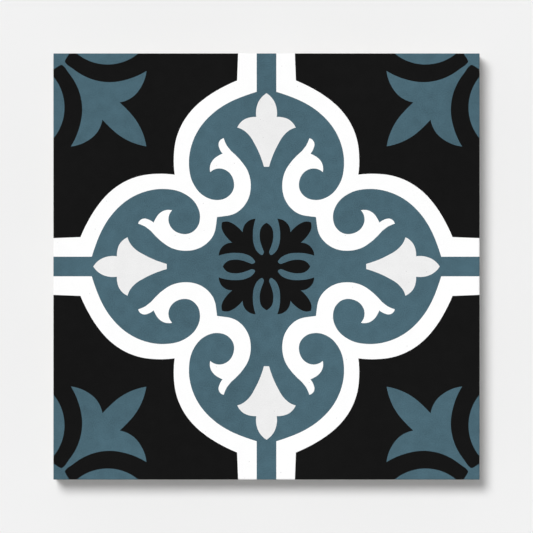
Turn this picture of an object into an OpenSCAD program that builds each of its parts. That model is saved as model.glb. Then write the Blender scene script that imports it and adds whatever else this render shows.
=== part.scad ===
// Square encaustic cement tile, pressed in one piece and lying face up.
// Its face is coloured cement, poured into the fields of a pattern and backed with grey mortar.
// The origin is the middle of the back, and +Z points out of the patterned face.

/* [Tile] */
// Length of one side of the face, which the pattern fills
tile_size = 200; // [150:1:250]
// Thickness of the whole tile
tile_t = 16; // [12:0.5:22]
// Depth of the coloured cement under the face
colour_t = 3; // [2:0.5:5]

/* [Edges] */
// Radius that eases the edge round the face
arris_r = 0.6; // [0.3:0.1:1.5]
// How far each side leans in between the face and the back
side_draw = 0.4; // [0.1:0.1:1]

/* [Keyed back] */
// Recesses in each row of the back; an even count leaves a rib across the middle
key_count = 8; // [6:2:10]
// Width of the rib between two recesses
key_rib = 8; // [5:0.5:10]
// Plain border round the recesses
key_border = 16; // [10:0.5:20]
// Depth of each recess, which grips the mortar bed
key_depth = 1; // [0.5:0.1:2]
// Radius of the corners of each recess
key_corner_r = 2; // [1:0.25:3]

/* [Hidden] */

$fn = 48;
// How far a cut or a colour field runs past the tile
cut = 1;
// Most that a drawn outline turns from one point to the next, in degrees
turn_step = 6;
// Steps in the quarter turn of the eased edge
arris_steps = 6;

back_size = tile_size - 2 * side_draw;
key_pitch = (back_size - 2 * key_border + key_rib) / key_count;
key_w = key_pitch - key_rib;

// The unit of the outlines below
hundredth = tile_size / 2 / 100;

// Outlines of the pattern, in hundredths of the way from the middle of the tile to its edge.
// Each is a list of runs from corner to corner, and a run is a smooth curve through its points.
// Those of the band, the ground and the rosette cover one eighth, from the Y axis to the diagonal.

// Outer edge of the white band: a channel in from the tile's edge, then one lobe of the quatrefoil
BAND = [
    [[13.2, 103], [13.8, 87.3]],
    [[13.8, 87.3], [21, 83.9], [28, 79.6], [34.4, 74.1], [39.4, 67.3], [42.6, 59], [43.5, 51.5], [43.1, 43.1]]
];

// Edge of the blue ground: round the inside of the band, then back along both sides of a white scroll
GROUND = [
    [[4.6, 103], [4.6, 82]],
    [[4.6, 82], [10, 80.2], [15.5, 78], [24.9, 72.1], [31.3, 65.1], [35.2, 56.8], [36.4, 48.5], [34.4, 39],
     [29.5, 33.2], [23.2, 31.2], [18.8, 32.3], [15.6, 36], [15.5, 40.5], [18, 44.5], [22, 46], [26.4, 44.3]],
    [[26.4, 44.3], [26.2, 48.1], [24.1, 51], [22.4, 52.1], [20.6, 53]],
    [[20.6, 53], [22.1, 55.5], [22.5, 57.5], [21.8, 59.2], [20.1, 60.2]],
    [[20.1, 60.2], [18.6, 56.7], [12.3, 50], [8.8, 44.8], [7.4, 38.5], [8.7, 31.4], [12.4, 26.5], [14.4, 25.1],
     [17, 24.1], [20, 23.6], [23.2, 23.2]]
];

// Black rosette in the middle: half a petal, round the end of a slit, then half a leaf
ROSETTE = [
    [[0, 20.5], [2.4, 18.4], [3.2, 14.9], [2.5, 10.3], [1.7, 8.2], [1.3, 6.4], [2.1, 5.4], [3.2, 5.9], [4.2, 6.8],
     [5.9, 10.2], [6.4, 14.4], [5.1, 22.4]],
    [[5.1, 22.4], [9.4, 20.6], [11.2, 16.1]],
    [[11.2, 16.1], [13.4, 18.4], [15.7, 20.1], [18.4, 21.1], [20.8, 20.8]]
];

// Half of a pale fleur that stands on the Y axis
FLEUR = [
    [[0, 81.3], [3.2, 78.2], [4.8, 73.8], [4.8, 70.2]],
    [[4.8, 70.2], [7, 70.1], [10.4, 69], [13.7, 65.2]],
    [[13.7, 65.2], [11.2, 64.2], [8.9, 62.4], [5, 56.5], [2.7, 51.4], [1.2, 46.8]]
];

// Half of the blue leaf that fills a corner, from the tile's corner to its tip on the diagonal
LEAF = [
    [[103, 103], [91.6, 101.3]],
    [[91.6, 101.3], [93.1, 99], [94.2, 97.3], [94.6, 96.1], [94, 95.2], [91.1, 93], [87.9, 90.7], [80, 87.3],
     [73.8, 86.5], [65, 87.9], [56.3, 91.8]],
    [[56.3, 91.8], [58.6, 84.7], [62.8, 79.6], [68.9, 77]],
    [[68.9, 77], [65.2, 73.4], [61.2, 68.6], [58, 62.4], [56.4, 56.4]]
];

// Blue lens that the edge cuts off beside each corner
LENS = [
    [[57.1, 103], [74.6, 94.8], [92.1, 103]]
];

function unit(v) = v / norm(v);

// Heading at the middle one of three points, of the circle that passes through them
function middle_heading(a, b, c) = unit((b - a) / ((b - a) * (b - a)) + (c - b) / ((c - b) * (c - b)));

// Heading at the end of a chord that mirrors the one at its other end, as on a circle
function end_heading(heading, chord) = 2 * (unit(chord) * heading) * unit(chord) - heading;

function heading(run, i) =
    i == 0 ? end_heading(heading(run, 1), run[1] - run[0])
    : i == len(run) - 1 ? end_heading(heading(run, i - 1), run[i] - run[i - 1])
    : middle_heading(run[i - 1], run[i], run[i + 1]);

// Length of the handle that makes a cubic curve follow a circle over the chord
function handle(chord, heading) = 2 * norm(chord) / (3 * (1 + unit(chord) * heading));

function on_cubic(a, b, c, d, t) =
    pow(1 - t, 3) * a + 3 * pow(1 - t, 2) * t * b + 3 * (1 - t) * pow(t, 2) * c + pow(t, 3) * d;

// Points from a to b that leave and arrive at the given headings, without a itself
function span_points(a, b, from, to) =
    let (steps = max(1, ceil(acos(min(1, from * to)) / turn_step)))
    let (leave = a + handle(b - a, from) * from)
    let (arrive = b - handle(b - a, to) * to)
    [for (k = [1 : steps]) on_cubic(a, leave, arrive, b, k / steps)];

// Points of one run, without its first
function run_points(run) =
    len(run) == 2 ? [run[1]]
    : [for (i = [0 : len(run) - 2])
        each span_points(run[i], run[i + 1], heading(run, i), heading(run, i + 1))];

// All points of a list of runs, at the size of the tile
function outline(runs) = hundredth * concat([runs[0][0]], [for (run = runs) each run_points(run)]);

function reversed(points) = [for (i = [len(points) - 1 : -1 : 0]) points[i]];
function across_diagonal(points) = [for (p = reversed(points)) [p[1], p[0]]];
function across_y(points) = [for (p = reversed(points)) [-p[0], p[1]]];
function quarter_turned(points, turns) = [for (p = points)
    [p[0] * cos(90 * turns) + p[1] * sin(90 * turns), p[1] * cos(90 * turns) - p[0] * sin(90 * turns)]];

// The points without those that repeat the one before them
function distinct(points) =
    [for (i = [0 : len(points) - 1])
        let (before = points[(i + len(points) - 1) % len(points)])
        if (norm(points[i] - before) > 0.001) points[i]];

// A closed outline round the middle of the tile, from its eighth
module eightfold(eighth) {
    quarter = concat(outline(eighth), across_diagonal(outline(eighth)));
    polygon(distinct([for (turns = [0 : 3]) each quarter_turned(quarter, turns)]));
}

module fourfold() {
    for (turns = [0 : 3]) rotate(90 * turns) children();
}

module band_field() {
    eightfold(BAND);
}

module ground_field() {
    eightfold(GROUND);
}

module rosette_field() {
    eightfold(ROSETTE);
}

module fleur_field() {
    fourfold() polygon(distinct(concat(outline(FLEUR), across_y(outline(FLEUR)))));
}

module leaf_field() {
    fourfold() polygon(distinct(concat(outline(LEAF), across_diagonal(outline(LEAF)))));
}

module lens_field() {
    fourfold() {
        polygon(outline(LENS));
        polygon(across_y(outline(LENS)));
    }
}

// Half of the section: up the leaning side, then over the eased edge to the face
half_section = concat(
    [[back_size / 2, 0], [tile_size / 2, tile_t - arris_r]],
    [for (step = [1 : arris_steps])
        let (a = 90 * step / arris_steps)
        [tile_size / 2 - arris_r * (1 - cos(a)), tile_t - arris_r * (1 - sin(a))]]
);

// The section of the tile between two opposite sides, drawn out to a length
module drawn_section(length) {
    rotate([90, 0, 0])
        linear_extrude(length, center = true)
            polygon(concat(half_section, across_y(half_section)));
}

// The pressed tile before its back is keyed
module blank() {
    intersection() {
        drawn_section(tile_size + cut);
        rotate([0, 0, 90]) drawn_section(tile_size + cut);
    }
}

// A field of the pattern, from the top of the backing to just above the face
module poured() {
    translate([0, 0, tile_t - colour_t]) linear_extrude(colour_t + cut) children();
}

// Grey mortar that backs the coloured cement
module backing() {
    color("darkgray")
        translate([0, 0, -cut])
            linear_extrude(tile_t - colour_t + cut) square(tile_size + 2 * cut, center = true);
}

module black_cement() {
    color([0.09, 0.09, 0.09]) {
        difference() {
            poured() square(2 * tile_size, center = true);
            poured() band_field();
            poured() leaf_field();
            poured() lens_field();
        }
        poured() rosette_field();
    }
}

module white_cement() {
    color("white")
        difference() {
            poured() band_field();
            poured() ground_field();
        }
}

module blue_cement() {
    color([0.29, 0.4, 0.45]) {
        difference() {
            poured() ground_field();
            poured() rosette_field();
            poured() fleur_field();
        }
        poured() leaf_field();
        poured() lens_field();
    }
}

module pale_cement() {
    color([0.93, 0.93, 0.93]) poured() fleur_field();
}

// One recess in plan, square with round corners
module key_outline() {
    corner_r = min(key_corner_r, key_w / 3);
    inner = key_w - 2 * corner_r;
    square([key_w, inner], center = true);
    square([inner, key_w], center = true);
    for (x = [-1, 1], y = [-1, 1])
        translate([x * inner / 2, y * inner / 2]) circle(corner_r);
}

// The whole grid of recesses, reaching down past the back
module keys() {
    first = -(key_count - 1) * key_pitch / 2;
    for (i = [0 : key_count - 1], j = [0 : key_count - 1])
        translate([first + i * key_pitch, first + j * key_pitch, -cut])
            linear_extrude(key_depth + cut) key_outline();
}

// The cements set as one solid in the shape of the mould
module tile() {
    difference() {
        intersection() {
            blank();
            union() {
                backing();
                black_cement();
                white_cement();
                blue_cement();
                pale_cement();
            }
        }
        color("darkgray") keys();
    }
}

tile();
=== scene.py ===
"""Looks of the patterned cement tile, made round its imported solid.

The tile is one closed mesh. Its face is divided along the same outlines that divide the solid's inlay,
so each colour of cement is the material of its own faces. The mesh has the pressed sides, the wavy line
where coloured cement meets grey mortar, and the recesses in the back.
"""

import math

import bpy
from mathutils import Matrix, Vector, noise
from mathutils.geometry import delaunay_2d_cdt, interpolate_bezier


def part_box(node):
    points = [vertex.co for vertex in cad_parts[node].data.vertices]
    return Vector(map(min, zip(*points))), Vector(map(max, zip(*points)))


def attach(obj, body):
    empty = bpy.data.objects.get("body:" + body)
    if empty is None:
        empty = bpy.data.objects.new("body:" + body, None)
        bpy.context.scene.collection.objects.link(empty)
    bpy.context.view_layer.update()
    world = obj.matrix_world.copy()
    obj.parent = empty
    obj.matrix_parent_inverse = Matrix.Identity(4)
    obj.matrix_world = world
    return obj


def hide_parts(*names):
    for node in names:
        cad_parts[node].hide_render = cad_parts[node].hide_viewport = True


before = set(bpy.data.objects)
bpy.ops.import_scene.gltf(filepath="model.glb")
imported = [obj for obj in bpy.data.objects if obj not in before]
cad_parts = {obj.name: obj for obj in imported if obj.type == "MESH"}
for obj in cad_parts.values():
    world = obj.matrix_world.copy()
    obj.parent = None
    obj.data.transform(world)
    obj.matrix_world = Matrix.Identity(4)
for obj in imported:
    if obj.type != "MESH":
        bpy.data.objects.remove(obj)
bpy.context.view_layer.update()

MM = 0.001
_, TOP_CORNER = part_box("tile")
HALF = TOP_CORNER.x
THICKNESS = TOP_CORNER.z

# Sizes that the solid has too
COLOUR_T = 3 * MM
ARRIS_R = 0.6 * MM
SIDE_DRAW = 0.4 * MM
KEY_COUNT = 8
KEY_RIB = 8 * MM
KEY_BORDER = 16 * MM
KEY_DEPTH = 1 * MM
KEY_CORNER_R = 2 * MM

# Sizes that only the looks have: radii at the tile's upright corners, round its back, and at the lip and
# the root of a recess, and how far a recess's walls lean in
CORNER_R = 0.2 * MM
BACK_EASE = 0.3 * MM
LIP_R = 0.25 * MM
ROOT_R = 0.3 * MM
KEY_LEAN = 0.12 * MM

# How far each surface or line wanders either way, and over what distance
FACE_WAVE = 0.02 * MM, 45 * MM
SIDE_WAVE = 0.06 * MM, 14 * MM
ARRIS_WEAR = 0.1 * MM, 7 * MM
COLOUR_WAVE = 0.45 * MM, 9 * MM
COLOUR_RIPPLE = 0.22 * MM, 2.5 * MM
# Distances from a side's lower and upper edge over which its wave grows to the full
LOWER_FADE = 5 * BACK_EASE
UPPER_FADE = 3 * ARRIS_R

# Distances between the corners of the mesh along its edges and over its face
EDGE_SPACING = 2 * MM
FACE_SPACING = 2.5 * MM
# Distances in from the tile's outline to a ring in the flat face beside its eased edge, and to the corners
# that are spaced over the face
FLAT_INSET = 1.5 * ARRIS_R
SPACED_INSET = 3 * ARRIS_R
# Distance from a bend in the back to the corners in the flat part beside it
COLLAR = 0.8 * MM
# Rows of faces down the grey part of a side, above its eased edge
SIDE_ROWS = 4
# Most that a drawn outline turns from one corner to the next, and steps in a quarter turn
TURN_STEP = math.radians(3)
ARRIS_STEPS = 6
CORNER_STEPS = 5
EASE_STEPS = 3
BEND_STEPS = 2
# Corners nearer than this are one
MERGE = 0.0001 * MM
# Most that two faces of the mesh turn from each other where they are shaded as one surface
SMOOTH_TURN = math.radians(40)

# Outlines of the pattern, in hundredths of the way from the middle of the tile to its edge.
# Each is a list of runs from corner to corner, and a run is a smooth curve through its points.
# Those of the band, the ground and the rosette cover one eighth, from the Y axis to the diagonal. Those
# of a fleur and a leaf cover one half of it, and that of a lens is whole.
HUNDREDTH = HALF / 100
BAND = [
    [(13.2, 103), (13.8, 87.3)],
    [(13.8, 87.3), (21, 83.9), (28, 79.6), (34.4, 74.1), (39.4, 67.3), (42.6, 59), (43.5, 51.5),
     (43.1, 43.1)],
]
GROUND = [
    [(4.6, 103), (4.6, 82)],
    [(4.6, 82), (10, 80.2), (15.5, 78), (24.9, 72.1), (31.3, 65.1), (35.2, 56.8), (36.4, 48.5),
     (34.4, 39), (29.5, 33.2), (23.2, 31.2), (18.8, 32.3), (15.6, 36), (15.5, 40.5), (18, 44.5),
     (22, 46), (26.4, 44.3)],
    [(26.4, 44.3), (26.2, 48.1), (24.1, 51), (22.4, 52.1), (20.6, 53)],
    [(20.6, 53), (22.1, 55.5), (22.5, 57.5), (21.8, 59.2), (20.1, 60.2)],
    [(20.1, 60.2), (18.6, 56.7), (12.3, 50), (8.8, 44.8), (7.4, 38.5), (8.7, 31.4), (12.4, 26.5),
     (14.4, 25.1), (17, 24.1), (20, 23.6), (23.2, 23.2)],
]
ROSETTE = [
    [(0, 20.5), (2.4, 18.4), (3.2, 14.9), (2.5, 10.3), (1.7, 8.2), (1.3, 6.4), (2.1, 5.4), (3.2, 5.9),
     (4.2, 6.8), (5.9, 10.2), (6.4, 14.4), (5.1, 22.4)],
    [(5.1, 22.4), (9.4, 20.6), (11.2, 16.1)],
    [(11.2, 16.1), (13.4, 18.4), (15.7, 20.1), (18.4, 21.1), (20.8, 20.8)],
]
FLEUR = [
    [(0, 81.3), (3.2, 78.2), (4.8, 73.8), (4.8, 70.2)],
    [(4.8, 70.2), (7, 70.1), (10.4, 69), (13.7, 65.2)],
    [(13.7, 65.2), (11.2, 64.2), (8.9, 62.4), (5, 56.5), (2.7, 51.4), (1.2, 46.8)],
]
LEAF = [
    [(103, 103), (91.6, 101.3)],
    [(91.6, 101.3), (93.1, 99), (94.2, 97.3), (94.6, 96.1), (94, 95.2), (91.1, 93), (87.9, 90.7),
     (80, 87.3), (73.8, 86.5), (65, 87.9), (56.3, 91.8)],
    [(56.3, 91.8), (58.6, 84.7), (62.8, 79.6), (68.9, 77)],
    [(68.9, 77), (65.2, 73.4), (61.2, 68.6), (58, 62.4), (56.4, 56.4)],
]
LENS = [
    [(57.1, 103), (74.6, 94.8), (92.1, 103)],
]

# Colours as a picture shows them: red, green and blue from 0 to 255. The cements' are the photograph's.
# The floor's is a little paler than the 241 that shows there, because the tile takes some of its light.
BLACK = (23, 23, 23)
BLUE = (75, 103, 115)
WHITE = (255, 255, 255)
PALE = (238, 238, 238)
MORTAR = (142, 139, 133)
FLOOR = (243, 243, 243)

# Brightness that the lights give to a white surface that faces up
LIGHT = 1.1
# Share of the light that the cement's gloss and sheen add to its colour when it is seen from above
GLOSS = 0.0033
# Heights in the sky between which its glow fades, where 0 is the horizon and 1 is straight above, and the
# glow's strength at each of the two
GLOW_HEIGHTS = 0.12, 0.45
GLOW_STRENGTHS = 0.885, 0.15

# Most values of the noise node lie in this range
NOISE_RANGE = 0.3, 0.7
# Distances from the middle of a pit to the start and the end of its soft edge, as shares of its size
PIT_EDGE = 0.3, 0.6

# Coloured cement: its roughness, the height of its bumps, the share by which painted shade darkens a
# pinhole, and how deep a pinhole is, as a number of those heights
CEMENT_ROUGHNESS = 0.66, 0.82
CEMENT_BUMP = 0.012 * MM
PINHOLE_PAINTED_SHADE = 0.35
PINHOLE_DEPTH = 4

# Grey mortar: the same, with voids in place of pinholes, and the shares of light that a void's painted shade
# sends back
MORTAR_ROUGHNESS = 0.82, 0.95
MORTAR_BUMP = 0.1 * MM
VOID_PAINTED_SHADE = 0.55
VOID_DEPTH = 1.5
VOID_SHADE_COLOUR = 0.03, 0.03, 0.028

# Shares by which the paste and the grains of sand in it differ from the mortar's colour
PASTE_MOTTLING = 0.25
GRAIN_MOTTLING = 0.75

# Sand in the mortar: the spacings of its fine and its coarse grains, their radii and the width of their soft
# edge as shares of the spacing, how much of their colour shows, and how far they stand up, as a share of
# the height of the bumps
SAND_SPACINGS = 0.5 * MM, 1 * MM
GRAIN_RADII = 0.1, 0.5
GRAIN_EDGE = 0.1
GRAIN_SHOWING = 0.6
GRAIN_HEIGHT = 0.5
# How far noise moves a grain's outline, and over what distance
GRAIN_BEND = 0.35 * MM, 0.5 * MM

# Places in the square that the colours are baked into: the widths of the face's and the back's, and the gap
# between two places
FACE_PLACE = 0.7
BACK_PLACE = 0.27
PLACE_GAP = 0.005
# A face of the mesh is baked as level where the upright part of its normal is more than this
LEVEL_NORMAL = 0.3


def end_heading(heading, chord):
    """Heading at the end of a chord that mirrors the one at its other end, as on a circle."""
    along = chord.normalized()
    return 2 * along.dot(heading) * along - heading


def headings(run):
    """Heading at each point of a run: that of the circle through it and its two neighbours."""
    chords = [b - a for a, b in zip(run, run[1:])]
    inner = [
        (back / back.length_squared + ahead / ahead.length_squared).normalized()
        for back, ahead in zip(chords, chords[1:])
    ]
    return [end_heading(inner[0], chords[0]), *inner, end_heading(inner[-1], chords[-1])]


def span_points(a, b, start, end):
    """Points of a cubic curve from a to b that leaves and arrives at the given headings, without a."""
    chord = b - a
    along = chord.normalized()
    leave = a + start * (2 * chord.length / (3 * (1 + along.dot(start))))
    arrive = b - end * (2 * chord.length / (3 * (1 + along.dot(end))))
    steps = max(1, math.ceil(start.angle(end) / TURN_STEP))
    return interpolate_bezier(a, leave, arrive, b, steps + 1)[1:]


def run_points(run):
    """Points of one run, without its first."""
    if len(run) == 2:
        return [run[1]]
    stations = list(zip(run, headings(run)))
    return [p for (a, start), (b, end) in zip(stations, stations[1:]) for p in span_points(a, b, start, end)]


def outline(runs):
    """All points of a list of runs, at the size of the tile."""
    runs = [[Vector(p) * HUNDREDTH for p in run] for run in runs]
    return [runs[0][0]] + [p for run in runs for p in run_points(run)]


def across_diagonal(points):
    """Points mirrored in the diagonal, the last first, so that an outline goes on along them."""
    return [Vector((p.y, p.x)) for p in reversed(points)]


def across_y(points):
    """Points mirrored in the Y axis, the last first."""
    return [Vector((-p.x, p.y)) for p in reversed(points)]


def quarter_turned(points, turns):
    """Points turned clockwise by a number of quarter turns."""
    for _ in range(turns):
        points = [Vector((p.y, -p.x)) for p in points]
    return points


def closed(points):
    """Points of a closed outline, anticlockwise and without those that repeat the one before them."""
    points = [p for i, p in enumerate(points) if (p - points[i - 1]).length > MERGE]
    turn = sum(a.cross(b) for a, b in zip(points, points[1:] + points[:1]))
    return points if turn > 0 else points[::-1]


def eightfold(eighth):
    """A closed outline round the middle of the tile, from its eighth."""
    quarter = outline(eighth) + across_diagonal(outline(eighth))
    return [closed([p for turns in range(4) for p in quarter_turned(quarter, turns)])]


def fourfold(*shapes):
    """Each closed outline four times, a quarter turn apart."""
    return [quarter_turned(closed(shape), turns) for shape in shapes for turns in range(4)]


def pattern_fields():
    """Closed outlines of each field of the pattern, by its name."""
    return {
        "band": eightfold(BAND),
        "ground": eightfold(GROUND),
        "rosette": eightfold(ROSETTE),
        "fleur": fourfold(outline(FLEUR) + across_y(outline(FLEUR))),
        "leaf": fourfold(outline(LEAF) + across_diagonal(outline(LEAF))),
        "lens": fourfold(outline(LENS), across_y(outline(LENS))),
    }


def cement_of(fields):
    """Colour of the cement where these fields lie over one another."""
    if "fleur" in fields:
        return "pale"
    if "rosette" in fields:
        return "black"
    if fields & {"ground", "leaf", "lens"}:
        return "blue"
    return "white" if "band" in fields else "black"


def quarter_angles(steps):
    """Angles of a quarter turn, from 0 to a right angle in equal steps."""
    return [math.pi / 2 * step / steps for step in range(steps + 1)]


def rounded_square(half, corner_r, spacing=None):
    """Points round a square with round corners, anticlockwise. A spacing puts more along its sides."""
    straight = 2 * (half - corner_r)
    pieces = max(1, round(straight / spacing)) if spacing else 1
    side = [Vector((half, straight * (i / pieces - 0.5))) for i in range(pieces)]
    middle = Vector((half - corner_r, half - corner_r))
    angles = quarter_angles(CORNER_STEPS)[:-1]
    arc = [middle + corner_r * Vector((math.cos(a), math.sin(a))) for a in angles]
    # The turns are clockwise, so three of them lead to the next side anticlockwise
    return [p for turns in (0, 3, 2, 1) for p in quarter_turned(side + arc, turns)]


def swing(wave, place):
    """How far a wave, given as its height and its span, goes up or down at a place."""
    height, span = wave
    return height * noise.noise(place / span)


def dip(wave, place):
    """How far a wave lies under its highest at a place."""
    return wave[0] - swing(wave, place)


def inset_of(p):
    """How far in from the tile's outline lies the square through a point, with the same round corners."""
    x, y = abs(p.x), abs(p.y)
    apart = abs(x - y)
    if apart > CORNER_R:
        return HALF - max(x, y)
    return HALF - CORNER_R - (x + y) / 2 + math.sqrt(CORNER_R**2 / 2 - apart**2 / 4)


def face_height(p):
    """Height of the patterned face, with its eased edge, over a point of the plan."""
    place = Vector((p.x, p.y, 0))
    radius = ARRIS_R + swing(ARRIS_WEAR, place)
    # 0 where the face is flat, and 1 at the tile's outline
    outward = 1 - min(max(inset_of(p) / radius, 0), 1)
    ease = radius * (1 - math.sqrt(1 - outward * outward))
    return THICKNESS - ease - dip(FACE_WAVE, place) * (1 - outward)


class Shell:
    """Corners and faces of the tile's mesh, as they are added."""

    def __init__(self):
        self.corners = []
        self.faces = []
        self.finishes = []

    def add_corners(self, corners):
        """Adds corners and returns their numbers."""
        first = len(self.corners)
        self.corners += corners
        return list(range(first, len(self.corners)))

    def add_face(self, corners, finish):
        """Adds a face, given as the numbers of its corners and the name of its finish."""
        self.faces.append(corners)
        self.finishes.append(finish)


def divide(loops, lines=(), dots=()):
    """Triangles inside closed anticlockwise loops, divided along them and along closed lines.

    Each dot becomes a corner too. Returns the corners, the number of the given point that each one is, or
    None where two lines cross, and the triangles with the loops that each lies in."""
    points = []
    numbers = []
    for shape in [*loops, *lines]:
        numbers.append(list(range(len(points), len(points) + len(shape))))
        points += shape
    edges = [edge for ring in numbers[len(loops):] for edge in zip(ring, ring[1:] + ring[:1])]
    points += dots
    inside_loops = 1
    corners, _, triangles, sources, _, within = delaunay_2d_cdt(
        points, edges, numbers[: len(loops)], inside_loops, MERGE
    )
    given = [min(source) if source else None for source in sources]
    return corners, given, [(triangle, set(held)) for triangle, held in zip(triangles, within)]


def rim_of(triangles):
    """Corners round the edge of a patch of triangles, in order, each with the triangle after it."""
    owners = {}
    for number, triangle in enumerate(triangles):
        for a, b in zip(triangle, triangle[1:] + triangle[:1]):
            owners[a, b] = number
    after = {a: (b, number) for (a, b), number in owners.items() if (b, a) not in owners}
    rim = []
    corner = next(iter(after))
    while len(rim) < len(after):
        following, number = after[corner]
        rim.append((corner, number))
        corner = following
    return rim


def add_face_side(shell):
    """The patterned face out to the start of the sides. Returns its rim's corners and their cements."""
    fields = pattern_fields()
    names = ["tile"] + [name for name, shapes in fields.items() for _ in shapes]
    edge = rounded_square(HALF, CORNER_R, EDGE_SPACING)
    loops = [edge] + [shape for shapes in fields.values() for shape in shapes]
    insets = [ARRIS_R * (1 - math.cos(a)) for a in quarter_angles(ARRIS_STEPS)[1:]]
    rings = [rounded_square(HALF - inset, CORNER_R, EDGE_SPACING) for inset in [*insets, FLAT_INSET]]
    # The dots lie halfway between whole steps, so that none of them meets a point of an outline
    reach = int((HALF - SPACED_INSET) / FACE_SPACING)
    places = [(i + 0.5) * FACE_SPACING for i in range(-reach, reach)]
    corners, _, triangles = divide(loops, rings, [Vector((x, y)) for x in places for y in places])
    # Loop 0 is the tile's own outline, and the fields run past it
    inside = [(t, {names[h] for h in held}) for t, held in triangles if 0 in held]
    used = sorted({c for t, _ in inside for c in t})
    made = shell.add_corners([(*corners[c], face_height(corners[c])) for c in used])
    renumbered = dict(zip(used, made))
    finishes = [cement_of(held) for _, held in inside]
    patch = [[renumbered[c] for c in t] for t, _ in inside]
    for triangle, finish in zip(patch, finishes):
        shell.add_face(triangle, finish)
    rim = rim_of(patch)
    return [corner for corner, _ in rim], [finishes[number] for _, number in rim]


def side_corner(start, z, colour_ends):
    """The corner at a height on a side, under a corner of the rim, or near that height where colour ends."""
    if colour_ends:
        z += swing(COLOUR_WAVE, start) + swing(COLOUR_RIPPLE, start)
    half = HALF - SIDE_DRAW * (1 - z / (THICKNESS - ARRIS_R))
    half -= BACK_EASE - math.sqrt(BACK_EASE**2 - max(BACK_EASE - z, 0) ** 2)
    share = min(max(z - BACK_EASE, 0) / LOWER_FADE, (start.z - z) / UPPER_FADE, 1)
    half -= share * dip(SIDE_WAVE, Vector((start.x, start.y, z)))
    return (start.x * half / HALF, start.y * half / HALF, z)


def add_sides(shell, upper, finishes):
    """The four sides, from the rim of the face to the back. Returns the corners of the lowest row."""
    starts = [Vector(shell.corners[corner]) for corner in upper]
    colour_z = THICKNESS - COLOUR_T
    coloured_rows = [0.5 * (THICKNESS - ARRIS_R + colour_z), colour_z]
    grey_rows = [colour_z * (1 - row / SIDE_ROWS) for row in range(1, SIDE_ROWS)]
    ease_rows = [BACK_EASE * (1 - math.sin(a)) for a in quarter_angles(EASE_STEPS)]
    for z in coloured_rows + grey_rows + ease_rows:
        colour_ends = z == colour_z
        lower = shell.add_corners([side_corner(start, z, colour_ends) for start in starts])
        for i, finish in enumerate(finishes):
            j = (i + 1) % len(finishes)
            shell.add_face([upper[j], upper[i], lower[i], lower[j]], finish)
        if colour_ends:
            finishes = ["mortar"] * len(finishes)
        upper = lower
    return upper


def recess_rings():
    """Rings of one recess in the back: how far each lies outside the recess's outline, and its height.

    The first and the last lie in the flat parts, so that those are shaded flat."""
    bends = [(math.cos(a), math.sin(a)) for a in quarter_angles(BEND_STEPS)]
    lip = [(LIP_R * (1 - sin), LIP_R * (1 - cos)) for cos, sin in bends]
    root = [(-KEY_LEAN - ROOT_R * (1 - cos), KEY_DEPTH - ROOT_R * (1 - sin)) for cos, sin in bends]
    return [(COLLAR, 0), *lip, *root, (-COLLAR, KEY_DEPTH)]


def add_back(shell, lowest):
    """The back inside the lowest row of the sides, keyed with square recesses."""
    back_size = 2 * (HALF - SIDE_DRAW)
    pitch = (back_size - 2 * KEY_BORDER + KEY_RIB) / KEY_COUNT
    half = (pitch - KEY_RIB) / 2
    edge = [Vector(shell.corners[c]).to_2d() for c in lowest]
    border = rounded_square(back_size / 2 - COLLAR, CORNER_R, EDGE_SPACING)
    rings = [border]
    heights = [0] * (len(edge) + len(border))
    places = [pitch * (i - (KEY_COUNT - 1) / 2) for i in range(KEY_COUNT)]
    for x in places:
        for y in places:
            for out, z in recess_rings():
                ring = [p + Vector((x, y)) for p in rounded_square(half + out, KEY_CORNER_R + out)]
                rings.append(ring)
                heights += [z] * len(ring)
    corners, given, triangles = divide([edge], rings)
    inside = [t for t, held in triangles if held]
    numbers = [
        lowest[g] if g < len(lowest) else shell.add_corners([(*p, heights[g])])[0]
        for p, g in zip(corners, given)
    ]
    for triangle in inside:
        shell.add_face([numbers[c] for c in reversed(triangle)], "mortar")


def bake_place(corner, face):
    """Where a corner of a face of the mesh lies in the square that the colours are baked into.

    The patterned face is at its bottom left, the four sides are upright strips to the right of that, and
    the back, with its recesses, is at its top right."""
    scale = FACE_PLACE / (2 * HALF)
    back_scale = BACK_PLACE / (2 * HALF)
    along_x = corner.x + HALF
    along_y = corner.y + HALF
    if face.normal.z > LEVEL_NORMAL:
        return (PLACE_GAP + scale * along_x, PLACE_GAP + scale * along_y)
    if face.normal.z < -LEVEL_NORMAL or inset_of(face.center) > COLLAR:
        return (1 - PLACE_GAP - back_scale * along_x, 1 - PLACE_GAP - back_scale * along_y)
    side = round(math.atan2(face.normal.y, face.normal.x) / (math.pi / 2)) % 4
    along = along_x if side % 2 else along_y
    strip = 2 * PLACE_GAP + FACE_PLACE + side * (PLACE_GAP + scale * THICKNESS)
    return (strip + scale * corner.z, PLACE_GAP + scale * along)


def add_bake_map(mesh):
    """Gives a mesh a map named OFBake, which places each of its faces in a square that colours can be baked
    into.
    """
    layer = mesh.uv_layers.new(name="OFBake")
    for face in mesh.polygons:
        for loop in face.loop_indices:
            corner = mesh.vertices[mesh.loops[loop].vertex_index].co
            layer.data[loop].uv = bake_place(corner, face)


def node(tree, kind, inputs=None, **settings):
    """Adds a node of a kind. Each input is given a number, a colour or a socket that is linked to it."""
    made = tree.nodes.new(kind)
    for name, value in settings.items():
        setattr(made, name, value)
    for name, value in (inputs or {}).items():
        socket = made.inputs[name]
        if isinstance(value, bpy.types.NodeSocket):
            tree.links.new(value, socket)
        else:
            socket.default_value = value
    return made


def math_node(tree, operation, a, b):
    """The result of an operation on a and b."""
    return node(tree, "ShaderNodeMath", {0: a, 1: b}, operation=operation).outputs[0]


def times(tree, value, factor):
    """A value multiplied by a number."""
    return math_node(tree, "MULTIPLY", value, factor)


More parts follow.
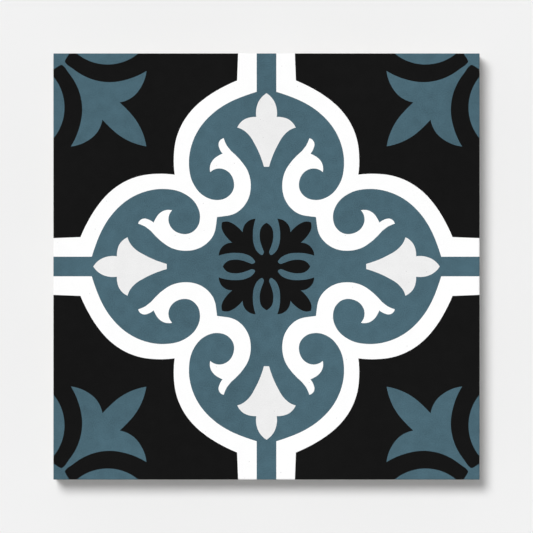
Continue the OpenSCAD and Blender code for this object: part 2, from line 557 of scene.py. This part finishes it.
# The Mix node has sockets for each kind of value: 2 and 3 take numbers, and 6 and 7 take colours
def mixed(tree, share, a, b):
    """The number that lies a share of the way from a to b."""
    return node(tree, "ShaderNodeMix", {0: share, 2: a, 3: b}).outputs[0]


def mixed_colour(tree, share, a, b):
    """The colour that lies a share of the way from a to b, each of them a socket or three numbers."""
    a, b = (c if isinstance(c, bpy.types.NodeSocket) else (*c, 1) for c in (a, b))
    return node(tree, "ShaderNodeMix", {0: share, 6: a, 7: b}, data_type="RGBA").outputs[2]


def ranged(tree, value, low, high, to_low, to_high, **settings):
    """A value brought from one range to another, and held inside it."""
    inputs = {"Value": value, "From Min": low, "From Max": high, "To Min": to_low, "To Max": to_high}
    return node(tree, "ShaderNodeMapRange", inputs, **settings).outputs["Result"]


def cloud(tree, place, size, detail, roughness=0.5):
    """Noise whose blotches are about a size, as a value from 0 to 1."""
    inputs = {"Vector": place, "Scale": 1 / size, "Detail": detail, "Roughness": roughness}
    noise_value = node(tree, "ShaderNodeTexNoise", inputs).outputs["Fac"]
    return ranged(tree, noise_value, *NOISE_RANGE, 0, 1)


def pits(tree, place, spacing, size):
    """Small round holes about a spacing apart, as a value that is 1 in a hole."""
    cells = node(tree, "ShaderNodeTexVoronoi", {"Vector": place, "Scale": 1 / spacing})
    # The node gives the distance from the middle of a pit as a share of the spacing
    start, end = [share * size / spacing for share in PIT_EDGE]
    return ranged(tree, cells.outputs["Distance"], start, end, 1, 0)


def albedo(colour, gloss=0):
    """Share of red, green and blue light that a surface sends back to show a colour from 0 to 255."""
    shares = [c / 255 for c in colour]
    # The curve that the sRGB standard gives
    linear = [s / 12.92 if s <= 0.04045 else ((s + 0.055) / 1.055) ** 2.4 for s in shares]
    return [s / LIGHT - gloss for s in linear]


def mottled(tree, colour, mottling, amount):
    """A colour made darker where an amount is near 0 and lighter where it is near 1, by a share."""
    dark = [c * (1 - mottling) for c in colour]
    light = [c * (1 + mottling) for c in colour]
    return mixed_colour(tree, amount, dark, light)


def new_material(name):
    """A material, its node tree, its shader, and the place on the tile that its patterns go by."""
    material = bpy.data.materials.new(name)
    material.use_nodes = True
    tree = material.node_tree
    place = node(tree, "ShaderNodeTexCoord").outputs["Object"]
    return material, tree, tree.nodes["Principled BSDF"], place


def finish_surface(tree, shader, colour, roughness, height, bump_height):
    """Gives a shader its colour and roughness, and bumps of bump_height where height goes from 0 to 1."""
    bump = node(tree, "ShaderNodeBump", {"Distance": bump_height, "Height": height})
    tree.links.new(colour, shader.inputs["Base Color"])
    tree.links.new(roughness, shader.inputs["Roughness"])
    tree.links.new(bump.outputs["Normal"], shader.inputs["Normal"])


def pressed_cement(name, colour, mottling):
    """Smooth coloured cement: faint blotches, fine grain, a few pinholes with painted shade, and a dusty
    sheen.
    """
    material, tree, shader, place = new_material(name)
    blotches = cloud(tree, place, size=30 * MM, detail=4)
    smears = cloud(tree, place, size=5 * MM, detail=3)
    ripples = cloud(tree, place, size=3 * MM, detail=3)
    grain = cloud(tree, place, size=0.5 * MM, detail=2)
    pinholes = pits(tree, place, spacing=4 * MM, size=0.4 * MM)
    mottle = mixed(tree, 0.5, mixed(tree, 0.5, blotches, smears), grain)
    tint = mottled(tree, albedo(colour, GLOSS), mottling, mottle)
    # Painted shade: each pinhole's colour is darkened toward black, as shade would fall in a small hole
    tint = mixed_colour(tree, times(tree, pinholes, PINHOLE_PAINTED_SHADE), tint, (0, 0, 0))
    roughness = ranged(tree, mottle, 0, 1, *CEMENT_ROUGHNESS)
    skin = mixed(tree, 0.6, ripples, grain)
    height = math_node(tree, "SUBTRACT", skin, times(tree, pinholes, PINHOLE_DEPTH))
    shader.inputs["Specular IOR Level"].default_value = 0.04
    shader.inputs["Sheen Weight"].default_value = 0.08
    shader.inputs["Sheen Roughness"].default_value = 0.5
    finish_surface(tree, shader, tint, roughness, height, CEMENT_BUMP)
    return material


def sand(tree, place, spacing):
    """Grains of many sizes, one in each cell of a spacing, as two values: one that is 1 on a grain, and the
    grain's own grey from 0 to 1, which is near the middle for most of them."""
    cells = node(tree, "ShaderNodeTexVoronoi", {"Vector": place, "Scale": 1 / spacing})
    chances = node(tree, "ShaderNodeSeparateColor", {"Color": cells.outputs["Color"]}).outputs
    radius = ranged(tree, chances["Green"], 0, 1, *GRAIN_RADII)
    inside = math_node(tree, "SUBTRACT", radius, cells.outputs["Distance"])
    on_grain = ranged(tree, inside, 0, GRAIN_EDGE, 0, 1)
    # The third power draws most greys to the middle, and four times it still reaches 0 and 1
    off_middle = math_node(tree, "SUBTRACT", chances["Red"], 0.5)
    drawn_in = times(tree, math_node(tree, "POWER", off_middle, 3), 4)
    return on_grain, math_node(tree, "ADD", drawn_in, 0.5)


def grey_mortar():
    """Coarse mortar of the backing: cement paste with two sizes of sand, damp patches and small voids with
    painted shade.
    """
    material, tree, shader, place = new_material("grey_mortar")
    # The grains are bent by noise, because plain ones would be perfectly round
    distance, span = GRAIN_BEND
    bend = node(tree, "ShaderNodeTexNoise", {"Vector": place, "Scale": 1 / span}).outputs["Color"]
    inputs = {0: bend, 1: (distance, distance, distance), 2: place}
    bent = node(tree, "ShaderNodeVectorMath", inputs, operation="MULTIPLY_ADD").outputs[0]
    patches = cloud(tree, place, size=18 * MM, detail=5, roughness=0.6)
    crumbs = cloud(tree, place, size=0.9 * MM, detail=4, roughness=0.7)
    voids = pits(tree, place, spacing=3.5 * MM, size=0.8 * MM)
    tint = mottled(tree, albedo(MORTAR), PASTE_MOTTLING, mixed(tree, 0.5, patches, crumbs))
    height = crumbs
    for spacing in SAND_SPACINGS:
        on_grain, grey = sand(tree, bent, spacing)
        grain_tint = mottled(tree, albedo(MORTAR), GRAIN_MOTTLING, grey)
        tint = mixed_colour(tree, times(tree, on_grain, GRAIN_SHOWING), tint, grain_tint)
        height = math_node(tree, "ADD", height, times(tree, on_grain, GRAIN_HEIGHT))
    # Painted shade: each void's colour is darkened toward a near black, as shade would fall in a small hole
    tint = mixed_colour(tree, times(tree, voids, VOID_PAINTED_SHADE), tint, VOID_SHADE_COLOUR)
    roughness = ranged(tree, crumbs, 0, 1, *MORTAR_ROUGHNESS)
    height = math_node(tree, "SUBTRACT", height, times(tree, voids, VOID_DEPTH))
    shader.inputs["Specular IOR Level"].default_value = 0.3
    finish_surface(tree, shader, tint, roughness, height, MORTAR_BUMP)
    return material


def tile_materials():
    """Materials of the tile, by the names of its finishes."""
    return {
        "black": pressed_cement("black_cement", BLACK, mottling=0.5),
        "blue": pressed_cement("blue_cement", BLUE, mottling=0.3),
        "white": pressed_cement("white_cement", WHITE, mottling=0.03),
        "pale": pressed_cement("pale_cement", PALE, mottling=0.07),
        "mortar": grey_mortar(),
    }


def make_tile():
    """The whole tile, as one closed mesh with a material for each finish."""
    shell = Shell()
    rim, finishes = add_face_side(shell)
    lowest = add_sides(shell, rim, finishes)
    add_back(shell, lowest)
    mesh = bpy.data.meshes.new("patterned_tile")
    mesh.from_pydata(shell.corners, [], shell.faces)
    materials = tile_materials()
    for material in materials.values():
        mesh.materials.append(material)
    order = list(materials)
    for face, finish in zip(mesh.polygons, shell.finishes):
        face.material_index = order.index(finish)
    mesh.validate()
    mesh.shade_smooth()
    mesh.set_sharp_from_angle(angle=SMOOTH_TURN)
    add_bake_map(mesh)
    tile = bpy.data.objects.new("patterned_tile", mesh)
    bpy.context.scene.collection.objects.link(tile)
    return tile


def make_floor():
    """Plain pale floor, open under the tile and clear from below, so that the tile's back can be seen."""
    # Distances from the middle to the outer and the inner edge, and a height just under the tile
    reach = 8000 * MM
    gap = HALF - SIDE_DRAW - BACK_EASE
    z = -0.02 * MM
    square = [(1, 1), (-1, 1), (-1, -1), (1, -1)]
    corners = [(x * size, y * size, z) for size in (reach, gap) for x, y in square]
    mesh = bpy.data.meshes.new("floor")
    mesh.from_pydata(corners, [], [(i, (i + 1) % 4, (i + 1) % 4 + 4, i + 4) for i in range(4)])
    material = bpy.data.materials.new("pale_floor")
    material.use_nodes = True
    tree = material.node_tree
    shader = tree.nodes["Principled BSDF"]
    shader.inputs["Base Color"].default_value = (*albedo(FLOOR), 1)
    shader.inputs["Roughness"].default_value = 1
    shader.inputs["Specular IOR Level"].default_value = 0
    back = node(tree, "ShaderNodeNewGeometry").outputs["Backfacing"]
    clear = node(tree, "ShaderNodeBsdfTransparent").outputs[0]
    either = node(tree, "ShaderNodeMixShader", {0: back, 1: shader.outputs[0], 2: clear}).outputs[0]
    tree.links.new(either, tree.nodes["Material Output"].inputs["Surface"])
    mesh.materials.append(material)
    floor = bpy.data.objects.new("floor", mesh)
    bpy.context.scene.collection.objects.link(floor)


def make_sun(name, share, lean_x, lean_y, spread, below=False):
    """A sun that gives a share of the light on the face, or on the back where it shines from below.

    It leans by the given slopes, and its spread is in degrees."""
    towards = Vector((lean_x, lean_y, -1 if below else 1)).normalized()
    data = bpy.data.lights.new(name, "SUN")
    data.energy = math.pi * LIGHT * share / abs(towards.z)
    data.angle = math.radians(spread)
    sun = bpy.data.objects.new(name, data)
    sun.rotation_mode = "QUATERNION"
    sun.rotation_quaternion = towards.to_track_quat("Z", "Y")
    bpy.context.scene.collection.objects.link(sun)


def make_lights():
    """A broad key light from the top left, a fill from above, one for the back, and a pale horizon."""
    make_sun("key", share=0.64, lean_x=-0.26, lean_y=0.355, spread=22)
    make_sun("fill", share=0.165, lean_x=0, lean_y=0, spread=4)
    make_sun("under", share=0.5, lean_x=1.7, lean_y=-0.9, spread=8, below=True)
    world = bpy.data.worlds.new("studio")
    world.use_nodes = True
    tree = world.node_tree
    place = node(tree, "ShaderNodeTexCoord").outputs["Generated"]
    up = node(tree, "ShaderNodeSeparateXYZ", {"Vector": place}).outputs["Z"]
    glow = ranged(tree, up, *GLOW_HEIGHTS, *GLOW_STRENGTHS, interpolation_type="SMOOTHSTEP")
    tree.links.new(glow, tree.nodes["Background"].inputs["Strength"])
    tree.nodes["Background"].inputs["Color"].default_value = (1, 1, 1, 1)
    bpy.context.scene.world = world


def make_camera():
    """A long lens straight above the face, with the photograph's framing."""
    photo_side_px = 533
    face_side_px = 426.13
    data = bpy.data.cameras.new("camera")
    data.lens = 800
    data.sensor_width = 36
    view_width = 2 * HALF * photo_side_px / face_side_px
    camera = bpy.data.objects.new("camera", data)
    camera.location = (0, 0, THICKNESS - ARRIS_R + view_width * data.lens / data.sensor_width)
    bpy.context.scene.collection.objects.link(camera)
    bpy.context.scene.camera = camera


bpy.context.scene.view_settings.view_transform = "Standard"
make_camera()
make_lights()
make_floor()
tile = make_tile()
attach(tile, "root")
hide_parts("tile")
